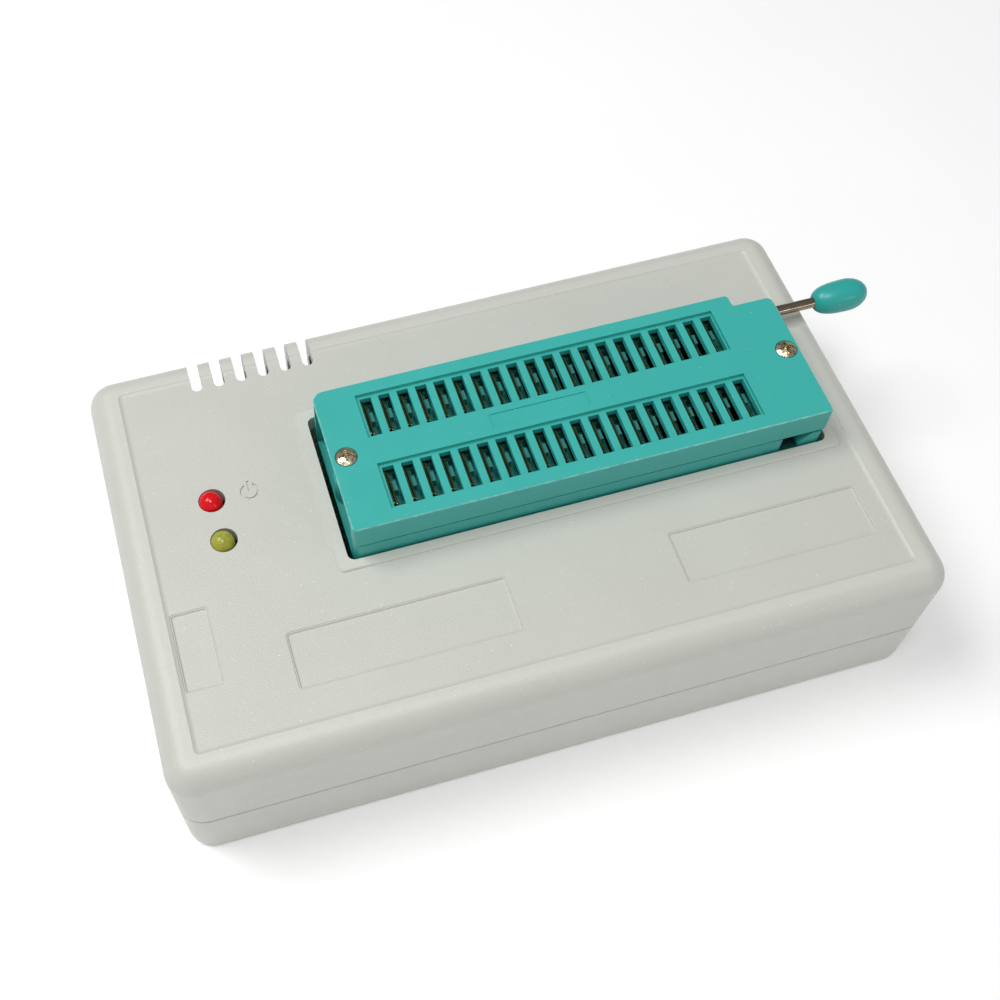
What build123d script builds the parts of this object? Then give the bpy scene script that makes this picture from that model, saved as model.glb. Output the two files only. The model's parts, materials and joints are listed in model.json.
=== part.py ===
from build123d import *
import os

# A USB chip programmer: a two-shell case with a lever-operated, zero-insertion-force
# socket standing through its top.  Millimetres.  The origin is the centre of the case's
# bottom face; +X runs along the socket's slot rows to the lever end, +Y to the vent side, +Z up.

# ---- case ----
case_length = 102.2
case_width = 62.4
case_height = 22.6
seam_height = 10.1
wall = 2.0
ceiling = 2.2
floor = 2.0
corner_radius = 3.6
top_edge_radius = 3.3
bottom_edge_radius = 0.9
seam_bevel = 0.22
lip_height = 1.3
lip_wall = 0.9
lip_gap = 0.1

boss_x = 43.5
boss_y = 24.2
screw_radius = 1.2
screw_clearance = 0.05
screw_head_radius = 2.6
screw_head_height = 1.8
screw_head_seat = 3.4

# ---- openings in the case top ----
opening_left = -22.6
opening_right = 43.9
opening_front = -7.1
opening_back = 16.0
rim_width = 1.6
rim_front_width = 1.3
rim_corner_radius = 0.8
rim_rise = 0.3
border_rise = 0.25
border_inner_x = 47.1
border_inner_y = 27.6
channel_front = 11.75
channel_floor = 21.7
vent_pitch = 3.18
vent_count = 6
vent_first_x = -35.9
vent_width = 1.5
vent_front = 25.1
vent_bottom = 13.2
panel_depth = 0.35
power_lamp_xy = (-37.9, 7.0)
run_lamp_xy = (-37.6, 0.65)
lamp_radius = 1.6
lamp_dome_centre = 22.0
lamp_hole_radius = 1.8
lamp_hole_shift = 0.22
mark_depth = 0.2

# ---- circuit board ----
board_length = 97.0
board_width = 57.0
board_bottom = 6.8
board_top = 8.4
board_hole_radius = 1.6

# ---- chip socket ----
slot_pitch = 2.54
slot_count = 20
slot_first_x = -14.93
socket_left = -21.72
socket_right = 43.2
socket_front = -6.8
socket_back = 15.2
socket_middle_y = 4.2
socket_bottom = 16.9
base_top = 25.2
cover_bottom = 25.4
cover_top = 29.43
cover_underside = 27.9
cover_skirt = 1.2
pocket_depth = 0.53
pocket_left = -16.2
pocket_right = 34.3
pocket_width = 6.95
slot_skin = 0.9
slot_width = 1.55
slot_length = 6.08
row_offset = 5.56
tail_offset = 7.62
notch_left = 37.55
notch_back = 13.25
socket_screw_x = (-19.7, 41.4)
socket_screw_radius = 0.95
socket_screw_seat = 28.6
socket_screw_head = 1.38
socket_screw_dome = 2.4

# ---- contacts and slider ----
blade_half_length = 2.5
blade_top = 28.45
blade_ear = 2.97
cell_half_length = 2.8
tail_shift = -0.40
slider_bottom = 25.4
slider_top = 27.6
slider_rib = 0.56
window_half_length = 3.2
slider_travel = 0.9
rib_crown = (0.0, 1.5)

# ---- lever ----
shaft_x = 38.6
shaft_z = 24.1
shaft_radius = 1.0
shaft_gap = 0.05
lobe_radius = 1.2
lobe_length = 3.6
lobe_y = (-2.4, 10.8)
arm_radius = 0.75
arm_y = 14.3
arm_bend = 1.1
arm_end = 58.3
knob_left = 51.3
knob_right = 59.6
knob_radius = 2.3

# ---- USB socket ----
usb_mouth = -50.9
usb_depth = 16.3
usb_y = -13.65
usb_width = 12.0
usb_height = 10.9
usb_skin = 0.3
plug_width = 8.5
plug_height = 7.8
plug_bevel = 1.9
plug_depth = 9.6
tongue_width = 5.6
tongue_height = 3.2

slot_xs = [slot_first_x + i * slot_pitch for i in range(slot_count)]
row_middle_x = (slot_xs[0] + slot_xs[-1]) / 2
slider_right = slot_xs[-1] + 2.27
slider_bar = 0.5
row_signs = (-1, 1)
boss_places = [(sx * boss_x, sy * boss_y) for sx in (-1, 1) for sy in (-1, 1)]


def span(x0, x1, y0, y1, z0, z1):
    """A box between two corners."""
    return Pos((x0 + x1) / 2, (y0 + y1) / 2, (z0 + z1) / 2) * Box(x1 - x0, y1 - y0, z1 - z0)


def post(x, y, z0, z1, radius):
    """An upright cylinder."""
    return Pos(x, y, (z0 + z1) / 2) * Cylinder(radius, z1 - z0)


def along_y(x, z, y0, y1, radius):
    """A cylinder lying along Y."""
    return Pos(x, (y0 + y1) / 2, z) * Rot(90, 0, 0) * Cylinder(radius, y1 - y0)


def rounded(length, width, radius, z0, z1):
    """A plate with rounded upright corners, centred on the origin."""
    return Pos(0, 0, z0) * extrude(RectangleRounded(length, width, radius), z1 - z0)


def rounded_span(x0, x1, y0, y1, z0, z1, radius):
    """A plate with rounded upright corners, between two corners."""
    return Pos((x0 + x1) / 2, (y0 + y1) / 2, 0) * rounded(x1 - x0, y1 - y0, radius, z0, z1)


def lowest(shape):
    return shape.edges().group_by(Axis.Z)[0]


def highest(shape):
    return shape.edges().group_by(Axis.Z)[-1]


def cross_recess(x, y, z0, z1, reach, width):
    """The cross cut in a screw head."""
    bar = span(x - reach, x + reach, y - width / 2, y + width / 2, z0, z1)
    return bar + span(x - width / 2, x + width / 2, y - reach, y + reach, z0, z1)


# ---------------------------------------------------------------- case

def usb_window():
    """The cut in the left wall that the USB socket looks out of."""
    half = usb_width / 2 + 0.3
    low = board_top - 0.25
    return span(-case_length / 2 - 1, -case_length / 2 + wall + 1, usb_y - half, usb_y + half,
                low, board_top + usb_height + 0.3)


def sunk_panel(x0, x1, y0, y1):
    """A label panel sunk in the case top, with a rounded foot and a softened upper edge."""
    z0 = case_height - panel_depth
    panel = fillet(lowest(rounded_span(x0, x1, y0, y1, z0, case_height + 1, 0.35)), 0.25)
    edge = rounded_span(x0 - 0.2, x1 + 0.2, y0 - 0.2, y1 + 0.2, case_height - 0.12,
                        case_height + 1, 0.5)
    return panel + chamfer(lowest(edge), 0.11)


def top_panels():
    """The three sunk label panels: product, maker and USB side."""
    places = [(-32.7, -4.2, -22.4, -14.75), (18.1, 44.0, -22.0, -14.7),
              (-46.2, -41.6, -19.0, -8.3)]
    return [sunk_panel(*place) for place in places]


def border_inside():
    """The space inside the low border that runs round the case top."""
    x, y = border_inner_x, border_inner_y
    return fillet(lowest(rounded_span(-x, x, -y, y, case_height, case_height + 2, 1.0)), 0.9)


def vent(x):
    """One vent slot: through the top near the back edge and down the back wall."""
    slot = span(x - vent_width / 2, x + vent_width / 2, vent_front + vent_width / 2,
                case_width / 2 + 1, vent_bottom, case_height + 1)
    return slot + post(x, vent_front + vent_width / 2, case_height - ceiling - 1,
                       case_height + 1, vent_width / 2)


def lamp_marks():
    """Engraved signs beside the lamps: a ring with a bar for power, a triangle for run."""
    z0 = case_height - mark_depth
    z1 = case_height + 1
    x, y = power_lamp_xy[0] + 5.35, power_lamp_xy[1]
    ring = post(x, y, z0, z1, 1.3) - post(x, y, z0, z1, 0.95)
    ring -= span(x - 0.55, x + 0.55, y, y + 2, z0, z1)
    ring += span(x - 0.18, x + 0.18, y + 0.1, y + 1.7, z0, z1)
    x, y = run_lamp_xy[0] + 5.05, run_lamp_xy[1]
    arrow = Pos(x, y, z0) * extrude(Polygon((-0.9, -1.25), (-0.9, 1.25), (1.3, 0), align=None),
                                    z1 - z0)
    return [ring, arrow]


def case_top():
    shell = fillet(highest(rounded(case_length, case_width, corner_radius, seam_height,
                                   case_height + border_rise)), top_edge_radius)
    shell -= border_inside()
    inner_height = case_height - ceiling
    hollow = rounded(case_length - 2 * wall, case_width - 2 * wall, corner_radius - wall,
                     seam_height, inner_height)
    shell = chamfer(lowest(shell), seam_bevel) - fillet(highest(hollow), 1.5)
    rebate = 2 * (lip_wall + lip_gap)
    shell -= rounded(case_length - 2 * wall + rebate, case_width - 2 * wall + rebate,
                     corner_radius - wall + rebate / 2, seam_height, seam_height + lip_height + lip_gap)
    rim = rounded_span(opening_left - rim_width, opening_right + rim_width,
                       opening_front - rim_front_width, opening_back + rim_width,
                       case_height - 1, case_height + rim_rise, rim_corner_radius)
    shell += chamfer(highest(rim), 0.18)
    for x, y in boss_places:
        shell += post(x, y, board_top, inner_height + 0.5, 3.0)
    for x, y in boss_places:
        shell -= post(x, y, board_top, 17.5, screw_radius + screw_clearance)
    shell -= rounded_span(opening_left, opening_right, opening_front, opening_back,
                          inner_height - 1, case_height + 1, 1.0)
    shell -= rounded_span(opening_right - 3, case_length / 2 + 3, channel_front, opening_back,
                          channel_floor, case_height + 1, 0.5)
    shell -= top_panels()
    shell -= usb_window()
    for x, y in (power_lamp_xy, run_lamp_xy):
        shell -= post(x + lamp_hole_shift, y, inner_height - 1, case_height + 1, lamp_hole_radius)
    for i in range(vent_count):
        shell -= vent(vent_first_x + i * vent_pitch)
    for mark in lamp_marks():
        shell -= mark
    return shell


def case_bottom():
    shell = fillet(lowest(rounded(case_length, case_width, corner_radius, 0, seam_height)),
                   bottom_edge_radius)
    shell = chamfer(highest(shell), seam_bevel)
    inner = (case_length - 2 * wall, case_width - 2 * wall, corner_radius - wall)
    shell += rounded(inner[0] + 2 * lip_wall, inner[1] + 2 * lip_wall, inner[2] + lip_wall,
                     seam_height - 1, seam_height + lip_height)
    shell -= rounded(*inner, floor, seam_height + lip_height + 1)
    for x, y in boss_places:
        shell += post(x, y, floor - 0.5, board_bottom, screw_head_radius + 2.0)
    for x, y in boss_places:
        shell -= post(x, y, -1, screw_head_seat, screw_head_radius + 0.6)
        shell -= post(x, y, 0, board_bottom, screw_radius + 0.25)
    for y in (-9, 9):
        shell += span(-30, 30, y - 0.6, y + 0.6, floor - 0.5, floor + 1.6)
    return shell - usb_window()


def case_screws():
    screws = []
    for x, y in boss_places:
        head = post(x, y, screw_head_seat - screw_head_height, screw_head_seat, screw_head_radius)
        head = fillet(lowest(head), 0.7)
        head += post(x, y, screw_head_seat, 14.6, screw_radius)
        head += Pos(x, y, 15.2) * Cone(screw_radius, 0.3, 1.2)
        bottom = screw_head_seat - screw_head_height
        screws.append(head - cross_recess(x, y, bottom - 1, bottom + 1.0, 1.5, 0.6))
    return Compound(screws)


# ---------------------------------------------------------------- chip socket

def socket_row_y(sign):
    return socket_middle_y + sign * row_offset


def right_end_step(z0, z1):
    """The block cut from the socket's back right corner, where the lever stands."""
    return span(notch_left, socket_right + 1, notch_back, socket_back + 1, z0, z1)


def lever_grooves():
    """The half-round bearing for the cam shaft, the pockets for its two lobes, and the
    notch in the front wall that shows the front pocket."""
    bore = shaft_radius + shaft_gap
    inner_front = socket_front + 1.2
    cut = along_y(shaft_x, shaft_z, lobe_y[0], notch_back + 1, bore)
    cut += span(shaft_x - bore, shaft_x + bore, lobe_y[0], notch_back + 1, shaft_z, base_top + 1)
    half = lobe_length / 2 + 0.3
    for y0, y1 in ((inner_front, lobe_y[0] + half), (lobe_y[1] - half, lobe_y[1] + half)):
        cut += span(shaft_x - 2.9, shaft_x + 3.1, y0, y1, 21.4, base_top + 1)
    outline = Polygon((37.05, 26.2), (37.05, 22.75), (39.3, 22.75), (41.5, base_top),
                      (41.5, 26.2), align=None)
    front_wall = Plane(origin=(0, inner_front + 0.1, 0), x_dir=(1, 0, 0), z_dir=(0, -1, 0))
    return cut + extrude(front_wall * outline, 2.2)


def socket_base():
    body = rounded_span(socket_left, socket_right, socket_front, socket_back,
                        socket_bottom, base_top, 1.0)
    body -= right_end_step(socket_bottom - 1, base_top + 1)
    body -= lever_grooves()
    body -= span(shaft_x + 1.45, socket_right + 1, socket_front - 1, socket_front + 1.2,
                 base_top - 0.3, base_top + 1)
    end_recess = span(socket_left - 1, socket_left + 3.6, socket_front + 1.6, socket_back - 1.6,
                      20.5, base_top + 1)
    body -= end_recess - post(socket_screw_x[0], socket_middle_y, 20, base_top + 1, 1.9)
    cells = []
    for sign in row_signs:
        y = socket_row_y(sign)
        tail_y = socket_middle_y + sign * tail_offset
        for x in slot_xs:
            cells.append(span(x - 1.15, x + 0.45, y - cell_half_length, y + cell_half_length,
                              19.4, base_top + 1))
            tail_x = x + tail_shift
            cells.append(span(tail_x - 0.25, tail_x + 0.25, tail_y - 0.35, tail_y + 0.35,
                              socket_bottom - 1, 19.4))
    body -= cells
    for x in socket_screw_x:
        body -= post(x, socket_middle_y, 18.6, base_top + 1, socket_screw_radius + 0.05)
    return body


def cover_block():
    """The cover's outside.  Each corner has a radius of its own."""
    body = span(socket_left, socket_right, socket_front, socket_back, cover_bottom, cover_top)
    body -= right_end_step(cover_bottom - 1, cover_top + 1)
    corners = [(socket_left, socket_back, 1.6), (socket_left, socket_front, 0.6),
               (socket_right, socket_front, 0.4), (socket_right, notch_back, 0.9),
               (notch_left, socket_back, 0.6), (notch_left, notch_back, 0.4)]
    for x, y, radius in corners:
        edges = body.edges().filter_by(Axis.Z)
        body = fillet(edges.sort_by_distance((x, y, cover_top))[0], radius)
    return chamfer(highest(body), 0.15)


def socket_cover():
    body = cover_block()
    inside_right = socket_right - cover_skirt
    inside = span(socket_left + cover_skirt, notch_left - 0.85, socket_front + cover_skirt,
                  socket_back - cover_skirt, cover_bottom - 1, cover_underside)
    inside += span(notch_left - 2, inside_right, socket_front + cover_skirt,
                   notch_back - 0.5, cover_bottom - 1, cover_underside)
    body -= inside
    body -= span(socket_left - 1, socket_left + cover_skirt + 0.1, socket_front + 1.6,
                 socket_back - 1.6, cover_bottom - 1, cover_top - 0.55)
    for x in socket_screw_x:
        body += post(x, socket_middle_y, base_top, cover_underside + 0.5, 1.7)
    for x in socket_screw_x:
        body -= post(x, socket_middle_y, base_top - 1, cover_top, socket_screw_radius + 0.2)
        body -= post(x, socket_middle_y, socket_screw_seat, cover_top + 1, socket_screw_head + 0.1)
    pocket_floor = cover_top - pocket_depth
    slots = []
    for sign in row_signs:
        y = socket_row_y(sign)
        body -= span(pocket_left, pocket_right, y - pocket_width / 2, y + pocket_width / 2,
                     pocket_floor, cover_top + 1)
        reach = slot_length / 2 + 0.7
        body -= span(slot_xs[0] - 1, slot_xs[-1] + 1, y - reach, y + reach,
                     cover_underside - 1, pocket_floor - slot_skin)
        for x in slot_xs:
            slots.append(span(x - slot_width / 2, x + slot_width / 2, y - slot_length / 2,
                              y + slot_length / 2, cover_underside - 1, cover_top))
    body -= slots
    body -= rounded_span(-0.2, 13.2, socket_middle_y - 1.1, socket_middle_y + 1.1,
                         cover_top - 0.15, cover_top + 1, 0.2)
    return body


def socket_screws():
    screws = []
    for x in socket_screw_x:
        y = socket_middle_y
        top = cover_top + 0.45
        head = post(x, y, socket_screw_seat, top, socket_screw_head)
        head &= Pos(x, y, top - socket_screw_dome) * Sphere(socket_screw_dome)
        head += post(x, y, 19.2, socket_screw_seat, socket_screw_radius)
        screws.append(head - cross_recess(x, y, cover_top - 0.3, cover_top + 1, 0.95, 0.4))
    return Compound(screws)


def contact(sign):
    """One folded contact for the slot at x = 0: two blades, their web and a tail."""
    y = socket_row_y(sign)
    tail_y = socket_middle_y + sign * tail_offset
    blades = []
    for x0, x1, top in ((-0.70, -0.48, blade_top), (-0.30, -0.10, blade_top - 0.3)):
        upper = span(x0, x1, y - blade_half_length, y + blade_ear, 25.5, top)
        blades.append(fillet(highest(upper).filter_by(Axis.X), 0.4))
        blades.append(span(x0, x1, y - blade_half_length, y + blade_half_length, 19.5, 26))
    web = span(-0.70, -0.10, y - blade_half_length, y + blade_half_length, 19.4, 19.8)
    tail = span(tail_shift - 0.15, tail_shift + 0.15, tail_y - 0.25, tail_y + 0.25, 12.8, 19.4)
    return web + tail + blades


def socket_contacts():
    contacts = []
    for sign in row_signs:
        one = contact(sign)
        contacts += [Pos(x, 0, 0) * one for x in slot_xs]
    return Compound(contacts)


def slider_fork(y):
    """An arm over the cam shaft, with two tabs that a cam lobe turns between."""
    gap = 0.1
    lobe_x = shaft_x - slider_travel / 2
    half = lobe_length / 2 - 0.4
    near = lobe_x - lobe_radius - gap
    far = lobe_x + lobe_radius + gap
    arm = span(slider_right - slider_bar, far + 0.9, y - half, y + half, slider_bottom, slider_top)
    arm += span(near - 0.9, near, y - half, y + half, 22.4, slider_bottom + 0.2)
    return arm + span(far, far + 0.9, y - half, y + half, 22.4, slider_bottom + 0.2)


def socket_slider():
    """The comb: a plate with a window for each contact, and a rib beside each.  A rib is
    full height at its crown, which presses the contact, and low towards both ends."""
    left = slot_xs[0] - 2.75
    low = slider_bottom + 0.9
    plate = span(left, slider_right, -5.2, 13.6, slider_bottom, slider_top)
    windows = []
    for sign in row_signs:
        y = socket_row_y(sign)
        for x in slot_xs:
            windows.append(span(x - slot_pitch + slider_rib, x, y - window_half_length,
                                y + window_half_length, slider_bottom - 1, slider_top + 1))
            for y0, y1 in ((-window_half_length, rib_crown[0]), (rib_crown[1], window_half_length)):
                windows.append(span(x - 0.05, x + slider_rib + 0.05, y + y0, y + y1,
                                    low, slider_top + 1))
        windows.append(span(slot_xs[-1] + slider_rib, slider_right - slider_bar,
                            y - window_half_length, y + window_half_length,
                            slider_bottom - 1, slider_top + 1))
        windows.append(span(slider_right - slider_bar - 0.1, slider_right + 1,
                            y - window_half_length, y + window_half_length, low, slider_top + 1))
        windows.append(span(left - 1, slider_right + 1, y + window_half_length,
                            y + window_half_length + 1, slider_bottom + 1.2, slider_top + 1))
    plate -= windows
    for y in lobe_y:
        plate += slider_fork(y)
    return plate


def lever():
    """Cam shaft and arm.  The two lobes drive the slider; the arm lies level when clamped."""
    shaft = along_y(shaft_x, shaft_z, lobe_y[0], notch_back + 0.25, shaft_radius)
    down = slider_travel / 2
    half = lobe_length / 2
    for y in lobe_y:
        shaft -= span(shaft_x - 2, shaft_x + 2, y - half, y + half, shaft_z - 2, shaft_z + 2)
        shaft += along_y(shaft_x - down, shaft_z - down, y - half, y + half, lobe_radius)
    start = (shaft_x, notch_back - 0.5, shaft_z)
    corner = (shaft_x, arm_y, shaft_z)
    end = (arm_end, arm_y, shaft_z)
    path = FilletPolyline(start, corner, end, radius=arm_bend)
    section = Plane(origin=start, z_dir=(0, 1, 0)) * Circle(arm_radius)
    return shaft + sweep(section, path=path)


def lever_knob():
    """A blunt egg-shaped grip on the end of the arm, fullest towards its free end."""
    middle = knob_left + 0.62 * (knob_right - knob_left)
    halves = []
    for tip, rise, run in ((knob_left, 0.83, 0.65), (knob_right, 0.62, 0.5)):
        halves.append(Bezier((tip, 0), (tip, rise * knob_radius),
                             (middle + run * (tip - middle), knob_radius), (middle, knob_radius)))
    face = make_face(halves + [Line((knob_right, 0), (knob_left, 0))])
    grip = Pos(0, arm_y, shaft_z) * revolve(face, Axis.X)
    bore = Pos((knob_left + arm_end) / 2 - 1, arm_y, shaft_z) * Rot(0, 90, 0) * Cylinder(
        arm_radius + 0.02, arm_end - knob_left + 2.1)
    return grip - bore


# ---------------------------------------------------------------- circuit board

def riser_places():
    return [(x + tail_shift, socket_middle_y + sign * tail_offset)
            for sign in row_signs for x in slot_xs]


def lamp_lead_places():
    return [(x + side * slot_pitch / 2, y)
            for x, y in (power_lamp_xy, run_lamp_xy) for side in (-1, 1)]


def usb_pin_places():
    return [(usb_mouth + 12.6 + dx, usb_y + dy) for dx in (0, 2.0) for dy in (-1.25, 1.25)]


def circuit_board():
    board = rounded(board_length, board_width, 2.0, board_bottom, board_top)
    holes = [post(x, y, board_bottom, board_top, board_hole_radius) for x, y in boss_places]
    holes += [post(x, y, board_bottom, board_top, 0.4) for x, y in riser_places()]
    holes += [post(x, y, board_bottom, board_top, 0.4) for x, y in lamp_lead_places()]
    holes += [post(x, y, board_bottom, board_top, 0.45) for x, y in usb_pin_places()]
    return board - holes


def riser_strips():
    strips = []
    for sign in row_signs:
        y = socket_middle_y + sign * tail_offset
        middle = row_middle_x + tail_shift
        strip = Pos(middle, y, (board_top + socket_bottom) / 2) * Box(
            slot_count * slot_pitch, 2.5, socket_bottom - board_top)
        strip -= [post(x + tail_shift, y, board_top - 1, socket_bottom + 1, 0.72) for x in slot_xs]
        strips.append(strip)
    return Compound(strips)


def riser_pins():
    """Turned receptacles: a cup that takes a socket tail, and a pin through the board."""
    cup = post(0, 0, 9.6, 16.6, 0.68) - post(0, 0, 12.2, 17, 0.42)
    pin = cup + post(0, 0, 5.2, 9.6, 0.3)
    return Compound([Pos(x, y, 0) * pin for x, y in riser_places()])


def gull_lead(reach, foot, drop, width):
    """A bent lead that leaves a chip body toward +X and lands on the board."""
    thick = 0.2
    outline = Polygon((0, drop), (0, drop - thick), (reach - foot - thick, drop - thick),
                      (reach - foot - thick, 0), (reach, 0), (reach, thick),
                      (reach - foot, thick), (reach - foot, drop), align=None)
    return Pos(0, width / 2, board_top) * Rot(90, 0, 0) * extrude(outline, width)


def lead_ring(places, turns, lead, x, y):
    return [Pos(x, y, 0) * Rot(0, 0, turn) * Pos(out, shift, 0) * lead
            for turn in turns for out, shift in places]


def microcontroller():
    body = fillet(highest(span(-35, -25, 12, 22, board_top + 0.15, board_top + 1.5)), 0.15)
    return body - post(-34, 21, board_top + 1.4, board_top + 2, 0.4)


def microcontroller_leads():
    lead = gull_lead(1.0, 0.45, 0.75, 0.35)
    places = [(5.0, (i - 5) * 0.8) for i in range(11)]
    return Compound(lead_ring(places, (0, 90, 180, 270), lead, -30, 17))


driver_chip_places = [(-6, 4.2), (9, 4.2), (24, 4.2), (0, -16.5), (18, -16.5)]


def driver_chips():
    chips = []
    for x, y in driver_chip_places:
        body = chamfer(highest(span(x - 6.4, x + 6.4, y - 3.75, y + 3.75, board_top + 0.15,
                                    board_top + 2.5)), 0.3)
        chips.append(body - post(x - 5.4, y - 2.7, board_top + 2.3, board_top + 3, 0.5))
    return Compound(chips)


def driver_chip_leads():
    lead = gull_lead(1.4, 0.6, 1.3, 0.42)
    places = [(3.75, (i - 4.5) * 1.27) for i in range(10)]
    leads = []
    for x, y in driver_chip_places:
        leads += lead_ring(places, (90, 270), lead, x, y)
    return Compound(leads)


transistor_places = [(-6 + 4.2 * i, y) for y in (18.6, 23.4) for i in range(10)]


def transistors():
    return Compound([chamfer(highest(span(x - 1.45, x + 1.45, y - 0.65, y + 0.65,
                                          board_top + 0.1, board_top + 1.1)), 0.15)
                     for x, y in transistor_places])


def transistor_leads():
    lead = gull_lead(0.55, 0.25, 0.5, 0.4)
    leads = []
    for x, y in transistor_places:
        leads += lead_ring([(0.65, 0)], (90,), lead, x, y)
        leads += lead_ring([(0.65, -0.95), (0.65, 0.95)], (270,), lead, x, y)
    return Compound(leads)


def crystal():
    can = Pos(-15.4, 20.4, board_top) * extrude(SlotOverall(11.0, 4.6, rotation=90), 3.4)
    flange = Pos(-15.4, 20.4, board_top) * extrude(SlotOverall(11.8, 5.4, rotation=90), 0.4)
    return fillet(highest(can), 0.6) + flange


capacitor_places = [(-28, -20), (-20, -20), (39, -14)]


def capacitor_bases():
    return Compound([span(x - 3.3, x + 3.3, y - 3.3, y + 3.3, board_top, board_top + 0.8)
                     for x, y in capacitor_places])


def capacitor_cans():
    return Compound([fillet(highest(post(x, y, board_top + 0.8, board_top + 6.4, 3.1)), 0.5)
                     for x, y in capacitor_places])


def power_inductor():
    core = rounded_span(-30.5, -23.5, -12.5, -5.5, board_top, board_top + 4.0, 1.2)
    return chamfer(highest(core), 0.4) - post(-27, -9, board_top + 3.6, board_top + 5, 2.2)


def voltage_regulator():
    return chamfer(highest(span(-15.25, -8.75, -13.75, -10.25, board_top + 0.1, board_top + 1.7)),
                   0.2)


def regulator_leads():
    lead = gull_lead(1.7, 0.8, 1.0, 0.7)
    tab = gull_lead(1.7, 0.8, 1.0, 3.0)
    leads = lead_ring([(1.75, s) for s in (-2.3, 0, 2.3)], (270,), lead, -12, -12)
    return Compound(leads + lead_ring([(1.75, 0)], (90,), tab, -12, -12))


def ceramic_capacitors():
    places = [(-2 + 5 * i, -8.6) for i in range(8)] + [(-41, 11.5 + 3.5 * i) for i in range(3)]
    return Compound([span(x - 1, x + 1, y - 0.62, y + 0.62, board_top, board_top + 0.9)
                     for x, y in places])


def resistors():
    places = [(-6 + 3.1 * i, 26.6) for i in range(14)] + [(-6 + 3.4 * i, -25.2) for i in range(12)]
    return Compound([span(x - 0.8, x + 0.8, y - 0.4, y + 0.4, board_top, board_top + 0.45)
                     for x, y in places])


# ---------------------------------------------------------------- lamps

def lamp(place):
    """A small lamp: flange with a flat side, barrel and dome."""
    x, y = place
    lens = post(x, y, 16.7, 17.7, 2.0) + post(x, y, 17.7, lamp_dome_centre, lamp_radius)
    lens += Pos(x, y, lamp_dome_centre) * Sphere(lamp_radius)
    return lens - span(x - 3, x - lamp_radius - 0.05, y - 3, y + 3, 16, 17.7)


def lamp_spacers():
    spacers = []
    for x, y in (power_lamp_xy, run_lamp_xy):
        spacers.append(post(x, y, board_top, 16.7, 2.1))
    holes = [post(x, y, board_top - 1, 17, 0.35) for x, y in lamp_lead_places()]
    return Compound([spacer - holes for spacer in spacers])


def lamp_leads():
    return Compound([post(x, y, 5.4, 16.7, 0.25) for x, y in lamp_lead_places()])


# ---------------------------------------------------------------- USB socket

def plug_hollow(x0, x1):
    """The space for the plug: a rectangle whose two upper corners are cut off."""
    half = plug_width / 2
    low = board_top + (usb_height - plug_height) / 2
    high = low + plug_height
    outline = Polygon((-half, low), (half, low), (half, high - plug_bevel),
                      (half - plug_bevel, high), (-half + plug_bevel, high),
                      (-half, high - plug_bevel), align=None)
    wall_plane = Plane(origin=(x0, usb_y, 0), x_dir=(0, 1, 0), z_dir=(1, 0, 0))
    return extrude(wall_plane * outline, x1 - x0)


def usb_box(inset, x0, x1):
    half = usb_width / 2 - inset
    return span(x0, x1, usb_y - half, usb_y + half, board_top + inset,
                board_top + usb_height - inset)


def usb_shell():
    body = usb_box(0, usb_mouth, usb_mouth + usb_depth)
    body = fillet(body.edges().filter_by(Axis.X), 0.5)
    body -= usb_box(usb_skin, usb_mouth + 0.4, usb_mouth + usb_depth + 1)
    body -= span(usb_mouth + 11.6, usb_mouth + 15.6, usb_y - 2.2, usb_y + 2.2,
                 board_top - 1, board_top + usb_skin + 0.1)
    return body - plug_hollow(usb_mouth - 1, usb_mouth + 1)


def usb_insulator():
    body = usb_box(usb_skin + 0.02, usb_mouth + 0.42, usb_mouth + usb_depth - 0.2)
    body -= plug_hollow(usb_mouth, usb_mouth + plug_depth)
    middle = board_top + usb_height / 2
    tongue = span(usb_mouth + 1.3, usb_mouth + plug_depth + 0.5, usb_y - tongue_width / 2,
                  usb_y + tongue_width / 2, middle - tongue_height / 2, middle + tongue_height / 2)
    body += chamfer(tongue.edges().filter_by(Axis.Y).group_by(Axis.X)[0], 0.5)
    return body - [post(x, y, board_top, board_top + 1.6, 0.4) for x, y in usb_pin_places()]


def usb_contacts():
    middle = board_top + usb_height / 2
    pieces = []
    for side in (-1, 1):
        inner = middle + side * tongue_height / 2
        outer = inner + side * 0.25
        for dy in (-1.25, 1.25):
            pieces.append(span(usb_mouth + 2.4, usb_mouth + plug_depth, usb_y + dy - 0.5,
                               usb_y + dy + 0.5, min(inner, outer), max(inner, outer)))
    pieces += [post(x, y, 5.4, board_top + 1.5, 0.35) for x, y in usb_pin_places()]
    return Compound(pieces)


nodes = {
    "case_top": case_top,
    "case_bottom": case_bottom,
    "case_screws": case_screws,
    "socket_base": socket_base,
    "socket_cover": socket_cover,
    "socket_screws": socket_screws,
    "socket_contacts": socket_contacts,
    "socket_slider": socket_slider,
    "lever": lever,
    "lever_knob": lever_knob,
    "riser_strips": riser_strips,
    "riser_pins": riser_pins,
    "circuit_board": circuit_board,
    "microcontroller": microcontroller,
    "microcontroller_leads": microcontroller_leads,
    "driver_chips": driver_chips,
    "driver_chip_leads": driver_chip_leads,
    "transistors": transistors,
    "transistor_leads": transistor_leads,
    "crystal": crystal,
    "capacitor_bases": capacitor_bases,
    "capacitor_cans": capacitor_cans,
    "power_inductor": power_inductor,
    "voltage_regulator": voltage_regulator,
    "regulator_leads": regulator_leads,
    "ceramic_capacitors": ceramic_capacitors,
    "resistors": resistors,
    "power_lamp": lambda: lamp(power_lamp_xy),
    "run_lamp": lambda: lamp(run_lamp_xy),
    "lamp_spacers": lamp_spacers,
    "lamp_leads": lamp_leads,
    "usb_shell": usb_shell,
    "usb_insulator": usb_insulator,
    "usb_contacts": usb_contacts,
}

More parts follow.
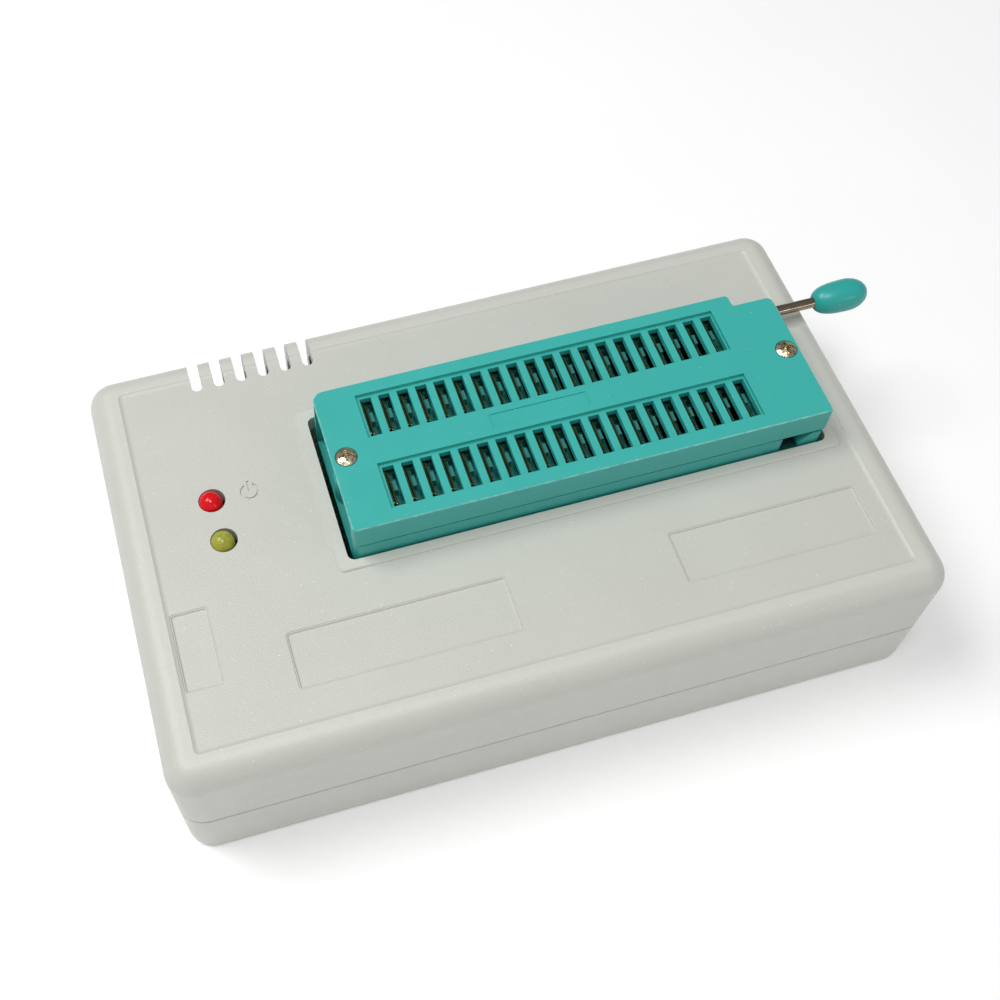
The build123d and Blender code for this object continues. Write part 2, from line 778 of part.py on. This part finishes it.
os.makedirs("parts", exist_ok=True)
for name, build in nodes.items():
    export_step(build(), f"parts/{name}.step")
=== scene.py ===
import json
from math import radians

import bpy
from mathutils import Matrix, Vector


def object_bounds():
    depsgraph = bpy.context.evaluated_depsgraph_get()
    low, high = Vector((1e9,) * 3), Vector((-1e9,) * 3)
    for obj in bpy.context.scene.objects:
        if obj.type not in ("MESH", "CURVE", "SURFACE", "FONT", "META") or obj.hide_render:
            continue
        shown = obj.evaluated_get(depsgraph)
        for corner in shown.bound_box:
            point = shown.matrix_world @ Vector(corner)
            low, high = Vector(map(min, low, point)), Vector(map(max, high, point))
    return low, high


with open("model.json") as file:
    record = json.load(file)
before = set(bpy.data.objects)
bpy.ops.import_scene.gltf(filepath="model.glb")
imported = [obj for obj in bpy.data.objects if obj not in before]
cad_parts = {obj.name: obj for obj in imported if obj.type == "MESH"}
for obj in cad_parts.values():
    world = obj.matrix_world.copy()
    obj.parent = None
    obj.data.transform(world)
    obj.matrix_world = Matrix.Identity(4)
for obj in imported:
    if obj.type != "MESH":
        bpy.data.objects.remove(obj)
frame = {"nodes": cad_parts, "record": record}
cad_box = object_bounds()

MM = 0.001

# Places in the frame, in mm, where a finish changes.
CASE_RAISED_Z = 22.65       # above it are only the case's border and the rim of its opening
COVER_EDGE_Z = 29.0         # above it are only the cover's upper edges and top
LEVER_SHADE_X = 41         # left of it, inside the socket, the lever is darkened with painted shade
# box around the lever notch, where the socket plastic is darkened as painted shade
LEVER_NOTCH = {"X": (36.9, 39.5), "Y": (-8, 8), "Z": (22.6, 24.95)}

BLACK = (0, 0, 0)
WHITE = (1, 1, 1)
CASE_GREY = (0.565, 0.575, 0.525)
SOCKET_TEAL = (0.040, 0.42, 0.38)
KNOB_TEAL = (0.022, 0.37, 0.34)
# pale teal for the cover's upper edges: partly rubbing wear, partly painted highlight
RUBBED_HIGHLIGHT_TEAL = (0.62, 0.80, 0.76)
# painted shade colour for the lever where it lies inside the socket
SHADE_DARK = (0.03, 0.025, 0.02)

scene = bpy.context.scene
nodes = frame["nodes"]


# ---------------------------------------------------------------- node helpers

class Shader:
    """A material with a few short ways of adding nodes to it."""

    def __init__(self, name, colour, roughness, **values):
        self.material = bpy.data.materials.new(name)
        self.material.use_nodes = True
        self.tree = self.material.node_tree
        self.bsdf = self.tree.nodes["Principled BSDF"]
        self.set("Base Color", (*colour, 1))
        self.set("Roughness", roughness)
        for key, value in values.items():
            self.set(key.replace("_", " ").title().replace("Ior", "IOR"), value)
        self.place = self.tree.nodes.new("ShaderNodeTexCoord").outputs["Object"]

    def set(self, socket, value):
        self.bsdf.inputs[socket].default_value = value

    def link(self, output, target):
        self.tree.links.new(output, target)

    def noise(self, size_mm, detail=3.0, roughness=0.55, stretch=None):
        """Noise whose lumps are about size_mm across."""
        node = self.tree.nodes.new("ShaderNodeTexNoise")
        node.inputs["Scale"].default_value = 1 / (size_mm * MM)
        node.inputs["Detail"].default_value = detail
        node.inputs["Roughness"].default_value = roughness
        place = self.place
        if stretch:
            mapping = self.tree.nodes.new("ShaderNodeMapping")
            mapping.inputs["Scale"].default_value = stretch
            self.link(place, mapping.inputs["Vector"])
            place = mapping.outputs["Vector"]
        self.link(place, node.inputs["Vector"])
        return node.outputs["Fac"]

    def specks(self, spacing_mm, size):
        """Sparse dots, one where a cell's centre is near, thinned out in patches."""
        node = self.tree.nodes.new("ShaderNodeTexVoronoi")
        node.inputs["Scale"].default_value = 1 / (spacing_mm * MM)
        node.inputs["Randomness"].default_value = 1.0
        self.link(self.place, node.inputs["Vector"])
        dots = self.ramp(node.outputs["Distance"], [(size, WHITE), (size * 1.8, BLACK)])
        patches = self.span(self.noise(spacing_mm * 4, detail=2), 0, 1, centre=0.54, reach=0.06)
        return self.mix(patches, BLACK, dots)

    def edges(self, flat=0.93, steep=0.35):
        """1 on chamfers and roundings, which face neither up nor sideways."""
        split = self.tree.nodes.new("ShaderNodeSeparateXYZ")
        self.link(self.tree.nodes.new("ShaderNodeTexCoord").outputs["Normal"], split.inputs[0])
        return self.ramp(split.outputs["Z"], [(steep - 0.05, BLACK), (steep, WHITE),
                                              (flat, WHITE), (flat + 0.03, BLACK)])

    def beyond(self, axis, start_mm, end_mm):
        """0 below start_mm on an axis of the frame, 1 above end_mm."""
        split = self.tree.nodes.new("ShaderNodeSeparateXYZ")
        self.link(self.place, split.inputs[0])
        middle, half = (start_mm + end_mm) / 2, (end_mm - start_mm) / 2
        return self.span(split.outputs[axis], 0, 1, centre=middle * MM, reach=half * MM)

    def within(self, box_mm):
        """1 inside a box of the frame, given as {axis: (low, high)}, with soft faces."""
        inside = WHITE
        for axis, (low, high) in box_mm.items():
            inside = self.mix(self.beyond(axis, low, low + 0.1), BLACK, inside)
            inside = self.mix(self.beyond(axis, high, high + 0.3), inside, BLACK)
        return inside

    def ramp(self, factor, stops):
        node = self.tree.nodes.new("ShaderNodeValToRGB")
        ramp = node.color_ramp
        while len(ramp.elements) < len(stops):
            ramp.elements.new(0.5)
        for element, (position, colour) in zip(ramp.elements, stops):
            element.position = position
            element.color = (*colour, 1)
        self.link(factor, node.inputs["Fac"])
        return node.outputs["Color"]

    def span(self, factor, low, high, centre=0.5, reach=0.2):
        """Spreads noise around its middle over low to high."""
        node = self.tree.nodes.new("ShaderNodeMapRange")
        node.inputs["From Min"].default_value = centre - reach
        node.inputs["From Max"].default_value = centre + reach
        node.inputs["To Min"].default_value = low
        node.inputs["To Max"].default_value = high
        self.link(factor, node.inputs["Value"])
        return node.outputs["Result"]

    def mix(self, factor, first, second, blend="MIX"):
        """Mixes two colours; each is a socket or an (r, g, b)."""
        node = self.tree.nodes.new("ShaderNodeMix")
        node.data_type = "RGBA"
        node.blend_type = blend
        for value, socket in ((factor, node.inputs[0]), (first, node.inputs[6]),
                              (second, node.inputs[7])):
            if isinstance(value, bpy.types.NodeSocket):
                self.link(value, socket)
            elif isinstance(value, tuple):
                socket.default_value = (*value, 1)
            else:
                socket.default_value = value
        return node.outputs[2]

    def colour(self, output):
        self.link(output, self.bsdf.inputs["Base Color"])
        return self

    def roughness(self, output):
        self.link(output, self.bsdf.inputs["Roughness"])
        return self

    def bump(self, heights):
        """Bump from (height socket, depth in mm) layers."""
        normal = None
        for height, depth in heights:
            node = self.tree.nodes.new("ShaderNodeBump")
            node.inputs["Strength"].default_value = 1.0
            node.inputs["Distance"].default_value = depth * MM
            self.link(height, node.inputs["Height"])
            if normal:
                self.link(normal, node.inputs["Normal"])
            normal = node.outputs["Normal"]
        self.link(normal, self.bsdf.inputs["Normal"])
        return self


def tint(colour, factor):
    return tuple(min(1.0, c * factor) for c in colour)


def grained_plastic(name, colour, roughness, grain_mm, grain_depth, variation, speck=0.0,
                    wear=0.0, raised_mm=None, greasy_box=None):
    """Moulded plastic: cloudy tone, spark-eroded grain and, if asked, fine pale specks,
    upper edges painted paler (partly rubbing wear, partly painted highlight), raised faces
    painted paler as a painted highlight, and painted shade darkening a box of the frame."""
    shader = Shader(name, colour, roughness)
    clouds = shader.noise(14, detail=4)
    tone = shader.mix(shader.span(clouds, 0, 1), tint(colour, 1 - variation),
                      tint(colour, 1 + variation))
    fine = shader.noise(grain_mm * 1.4, detail=2)
    tone = shader.mix(shader.span(fine, 0, 0.35), tone, tint(colour, 1 - 1.6 * variation))
    if raised_mm:
        # painted highlight: faces above raised_mm are painted 5% paler
        raised_highlight = shader.beyond("Z", raised_mm, raised_mm + 0.15)
        tone = shader.mix(raised_highlight, tone, tint(colour, 1.05))
    if speck:
        dots = shader.specks(spacing_mm=0.9, size=0.06)
        tone = shader.mix(dots, tone, tuple(c + speck * (1 - c) for c in colour))
    # upper edges painted paler: partly rubbing wear, partly painted highlight
    if wear:
        rubbed_highlight = shader.mix(shader.span(shader.noise(0.8, detail=5), 0, wear), BLACK,
                            shader.edges())
        upper_edge = shader.beyond("Z", COVER_EDGE_Z, COVER_EDGE_Z + 0.2)
        rubbed_highlight = shader.mix(upper_edge, BLACK, rubbed_highlight)
        tone = shader.mix(rubbed_highlight, tone, RUBBED_HIGHLIGHT_TEAL)
    # painted shade: inside the box the plastic is darkened to 0.12 of its tone
    if greasy_box:
        tone = shader.mix(shader.within(greasy_box), tone, tint(colour, 0.12))
    shader.colour(tone)
    shader.roughness(shader.span(shader.noise(2.2, detail=4), roughness - 0.05, roughness + 0.06))
    grain = shader.noise(grain_mm, detail=3, roughness=0.6)
    return shader.bump([(shader.noise(9, detail=2), 0.05), (grain, grain_depth)]).material


def worn_metal(name, colour, roughness, scratch, depth=0.006, tarnish=None, patch_mm=2.6,
               greasy_below_x=None):
    """Plated metal: fine drawing lines, slight tarnish, small dents and, if asked, painted shade
    darkening the part below an x of the frame. scratch squeezes the lines along each axis."""
    shader = Shader(name, colour, roughness, metallic=1.0)
    dull = tarnish or tint(colour, 0.72)
    patches = shader.noise(patch_mm, detail=5, roughness=0.65)
    tone = shader.mix(shader.span(patches, 0, 0.8, centre=0.56, reach=0.12), colour, dull)
    # painted shade: below the given x the metal is painted near black
    if greasy_below_x:
        unshaded = shader.beyond("X", greasy_below_x, greasy_below_x + 1)
        tone = shader.mix(unshaded, SHADE_DARK, tone)
    shader.colour(tone)
    lines = shader.noise(0.9, detail=4, stretch=scratch)
    shader.roughness(shader.span(lines, roughness * 0.7, roughness * 1.5))
    return shader.bump([(lines, depth), (shader.noise(0.7, detail=2), depth)]).material


def lamp_plastic(name, colour, deep):
    """Tinted diffusing epoxy: light goes a little way in, and the surface is glossy."""
    shader = Shader(name, colour, 0.16, ior=1.5, subsurface_weight=0.3, specular_ior_level=0.35)
    shader.set("Subsurface Radius", (0.8, 0.3, 0.2))
    shader.set("Subsurface Scale", 0.8 * MM)
    cloud = shader.noise(0.9, detail=2)
    shader.colour(shader.mix(shader.span(cloud, 0, 1), deep, colour))
    return shader.bump([(shader.noise(0.5, detail=1), 0.004)]).material


def solder_mask(name, colour):
    """Board lacquer over copper: faint tracks running along the board, and a weave below."""
    shader = Shader(name, colour, 0.32, coat_weight=0.5, coat_roughness=0.15)
    tracks = shader.tree.nodes.new("ShaderNodeTexBrick")
    tracks.inputs["Scale"].default_value = 1 / (9 * MM)
    tracks.inputs["Mortar Size"].default_value = 0.035
    tracks.inputs["Brick Width"].default_value = 0.9
    tracks.inputs["Row Height"].default_value = 0.14
    tracks.inputs["Color1"].default_value = (*tint(colour, 0.85), 1)
    tracks.inputs["Color2"].default_value = (*colour, 1)
    tracks.inputs["Mortar"].default_value = (*tint(colour, 1.9), 1)
    shader.link(shader.place, tracks.inputs["Vector"])
    weave = shader.noise(0.5, detail=2, stretch=(1, 6, 1))
    shader.colour(shader.mix(shader.span(weave, 0, 0.3), tracks.outputs["Color"],
                             tint(colour, 0.6)))
    return shader.bump([(tracks.outputs["Fac"], 0.03), (weave, 0.01)]).material


def pressed_powder(name, colour, roughness, lump_mm):
    """Fired ceramic or ferrite: mottled tone over a fine granular surface."""
    shader = Shader(name, colour, roughness)
    lumps = shader.noise(lump_mm, detail=6, roughness=0.7)
    shader.colour(shader.mix(shader.span(lumps, 0, 1), tint(colour, 0.7), tint(colour, 1.35)))
    shader.roughness(shader.span(shader.noise(lump_mm * 3), roughness - 0.1, roughness + 0.1))
    return shader.bump([(lumps, 0.02)]).material


# ---------------------------------------------------------------- finishes

finishes = {}


def finish(make, slot, **recipe):
    finishes[slot] = make(slot, **recipe)


finish(grained_plastic, "case_plastic", colour=CASE_GREY, roughness=0.33, grain_mm=0.19,
       grain_depth=0.055, variation=0.022, speck=0.55, raised_mm=CASE_RAISED_Z)
finish(grained_plastic, "socket_plastic", colour=SOCKET_TEAL, roughness=0.36, grain_mm=0.30,
       grain_depth=0.008, variation=0.03, speck=0.25, wear=0.38, greasy_box=LEVER_NOTCH)
# painted shade: the slider is the socket's teal at half brightness, for the shade deep inside the
# socket
finish(grained_plastic, "slider_plastic", colour=tint(SOCKET_TEAL, 0.5), roughness=0.42,
       grain_mm=0.30, grain_depth=0.008, variation=0.05, speck=0.25)
finish(grained_plastic, "knob_plastic", colour=KNOB_TEAL, roughness=0.37, grain_mm=0.5,
       grain_depth=0.01, variation=0.05, speck=0.3)
# painted reflection: the steel's base colour is darkened to stand in for the dark surroundings it
# reflects
finish(worn_metal, "lever_steel", colour=(0.28, 0.235, 0.18), roughness=0.19,
       scratch=(0.08, 1, 1), depth=0.003, tarnish=(0.16, 0.12, 0.08),
       greasy_below_x=LEVER_SHADE_X)
finish(worn_metal, "screw_steel", colour=(0.80, 0.70, 0.50), roughness=0.2, scratch=(1, 1, 1),
       depth=0.06, tarnish=(0.10, 0.06, 0.03), patch_mm=0.6)
# painted shade: contact colours darkened to near black-green, standing in for the dark socket
# interior the blades reflect
finish(worn_metal, "contact_gold", colour=(0.11, 0.16, 0.07), roughness=0.2,
       scratch=(1, 0.1, 0.1), tarnish=(0.012, 0.05, 0.035))
finish(solder_mask, "board_green", colour=(0.02, 0.17, 0.07))
finish(grained_plastic, "chip_black", colour=(0.022, 0.022, 0.024), roughness=0.55,
       grain_mm=0.16, grain_depth=0.02, variation=0.2)
finish(worn_metal, "tinned_leads", colour=(0.70, 0.70, 0.68), roughness=0.30,
       scratch=(1, 0.2, 1))
finish(grained_plastic, "black_nylon", colour=(0.02, 0.02, 0.022), roughness=0.48,
       grain_mm=0.4, grain_depth=0.012, variation=0.15)
finish(grained_plastic, "white_nylon", colour=(0.74, 0.74, 0.70), roughness=0.45,
       grain_mm=0.5, grain_depth=0.01, variation=0.02)
finish(lamp_plastic, "red_lens", colour=(0.80, 0.004, 0.010), deep=(0.60, 0.002, 0.006))
finish(lamp_plastic, "yellow_lens", colour=(0.43, 0.43, 0.06), deep=(0.30, 0.31, 0.04))
finish(worn_metal, "can_aluminium", colour=(0.80, 0.80, 0.80), roughness=0.33,
       scratch=(1, 1, 0.1))
finish(pressed_powder, "ferrite", colour=(0.05, 0.05, 0.055), roughness=0.6, lump_mm=0.4)
finish(pressed_powder, "ceramic", colour=(0.42, 0.30, 0.18), roughness=0.5, lump_mm=0.5)

slot_of = {part["node"]: part["material_slot"] for part in frame["record"]["subparts"]}
for name, node in nodes.items():
    node.data.materials.clear()
    node.data.materials.append(finishes[slot_of[name]])


# ---------------------------------------------------------------- floor, light and camera

def studio():
    floor_size = 4.0
    gap_under_case = 0.00002
    floor_height = cad_box[0][2] - gap_under_case
    bpy.ops.mesh.primitive_plane_add(size=floor_size, location=(0, 0, floor_height))
    floor = bpy.context.object
    floor.name = "floor"
    paper = Shader("floor_paper", (0.93, 0.93, 0.93), 0.9, emission_strength=0.1)
    paper.set("Emission Color", (1, 1, 1, 1))
    paper.colour(paper.mix(paper.span(paper.noise(40), 0, 1), (0.925, 0.925, 0.925),
                           (0.94, 0.94, 0.94)))
    floor.data.materials.append(paper.material)


def surroundings(darkest, brightest, towards):
    """Soft light from all round, brighter on the side that the vector towards points to."""
    world = bpy.data.worlds.new("studio")
    scene.world = world
    world.use_nodes = True
    tree = world.node_tree
    background = tree.nodes["Background"]
    background.inputs["Color"].default_value = (1, 1, 1, 1)
    direction = tree.nodes.new("ShaderNodeTexCoord").outputs["Generated"]
    side = tree.nodes.new("ShaderNodeVectorMath")
    side.operation = "DOT_PRODUCT"
    side.inputs[1].default_value = Vector(towards).normalized()
    level = tree.nodes.new("ShaderNodeMapRange")
    level.inputs["From Min"].default_value = -1
    level.inputs["To Min"].default_value = darkest
    level.inputs["To Max"].default_value = brightest
    tree.links.new(direction, side.inputs[0])
    tree.links.new(side.outputs["Value"], level.inputs["Value"])
    tree.links.new(level.outputs["Result"], background.inputs["Strength"])


def area_light(name, place, aim, size, power):
    data = bpy.data.lights.new(name, "AREA")
    data.shape = "DISK"
    data.size = size
    data.energy = power
    lamp = bpy.data.objects.new(name, data)
    lamp.location = place
    lamp.rotation_euler = (Vector(aim) - Vector(place)).to_track_quat("-Z", "Y").to_euler()
    scene.collection.objects.link(lamp)


def camera():
    data = bpy.data.cameras.new("camera")
    data.sensor_width = 36
    data.lens = 47.2
    data.shift_x = 0.101
    data.shift_y = 0.020
    data.clip_start = 0.01
    data.clip_end = 20
    eye = bpy.data.objects.new("camera", data)
    eye.location = (-0.03644, -0.08748, 0.16989)
    eye.rotation_euler = (radians(30.664), radians(0.894), radians(-15.872))
    scene.collection.objects.link(eye)
    scene.camera = eye


studio()
surroundings(darkest=0.24, brightest=0.42, towards=(-0.4, -0.85, 0.1))
object_middle = (0, 0, 0.02)
lever_rod = (0.05, 0.01, 0.02)
area_light("key", (-0.24, 0.12, 0.48), object_middle, size=0.28, power=1.5)
area_light("overhead", (-0.03, -0.10, 0.55), object_middle, size=0.16, power=0.85)
area_light("streak", (0.275, -0.40, 0.21), lever_rod, size=0.08, power=0.12)
camera()
scene.view_settings.view_transform = "Standard"
